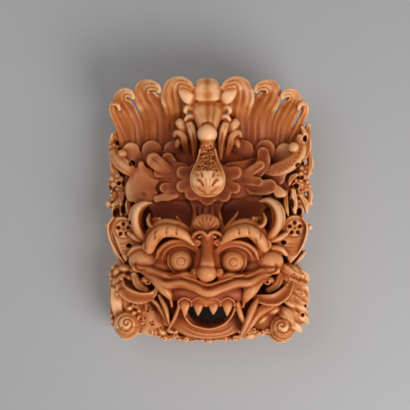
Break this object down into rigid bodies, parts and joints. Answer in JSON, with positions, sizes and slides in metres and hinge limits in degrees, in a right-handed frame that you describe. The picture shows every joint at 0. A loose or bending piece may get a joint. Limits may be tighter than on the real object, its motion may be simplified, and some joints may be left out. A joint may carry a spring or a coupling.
{
  "type": "carved barong mask",
  "caption": "Carved wooden barong demon mask with a feathered crown, bulging eyes, fangs, leafy forehead and a hollowed flat back.",
  "frame": {"origin": "middle of the outline on the flat back, the plane the mask lies on", "axes": "+Z out of the face, +Y towards the crown, +X towards the viewer's right"},
  "size_m": [0.282, 0.359, 0.127],
  "materials": {
    "carved_wood": "satin oiled and burnished, warm orange brown"
  },
  "bodies": {
    "root": {"mask": "carved_wood"}
  },
  "joints": []
}
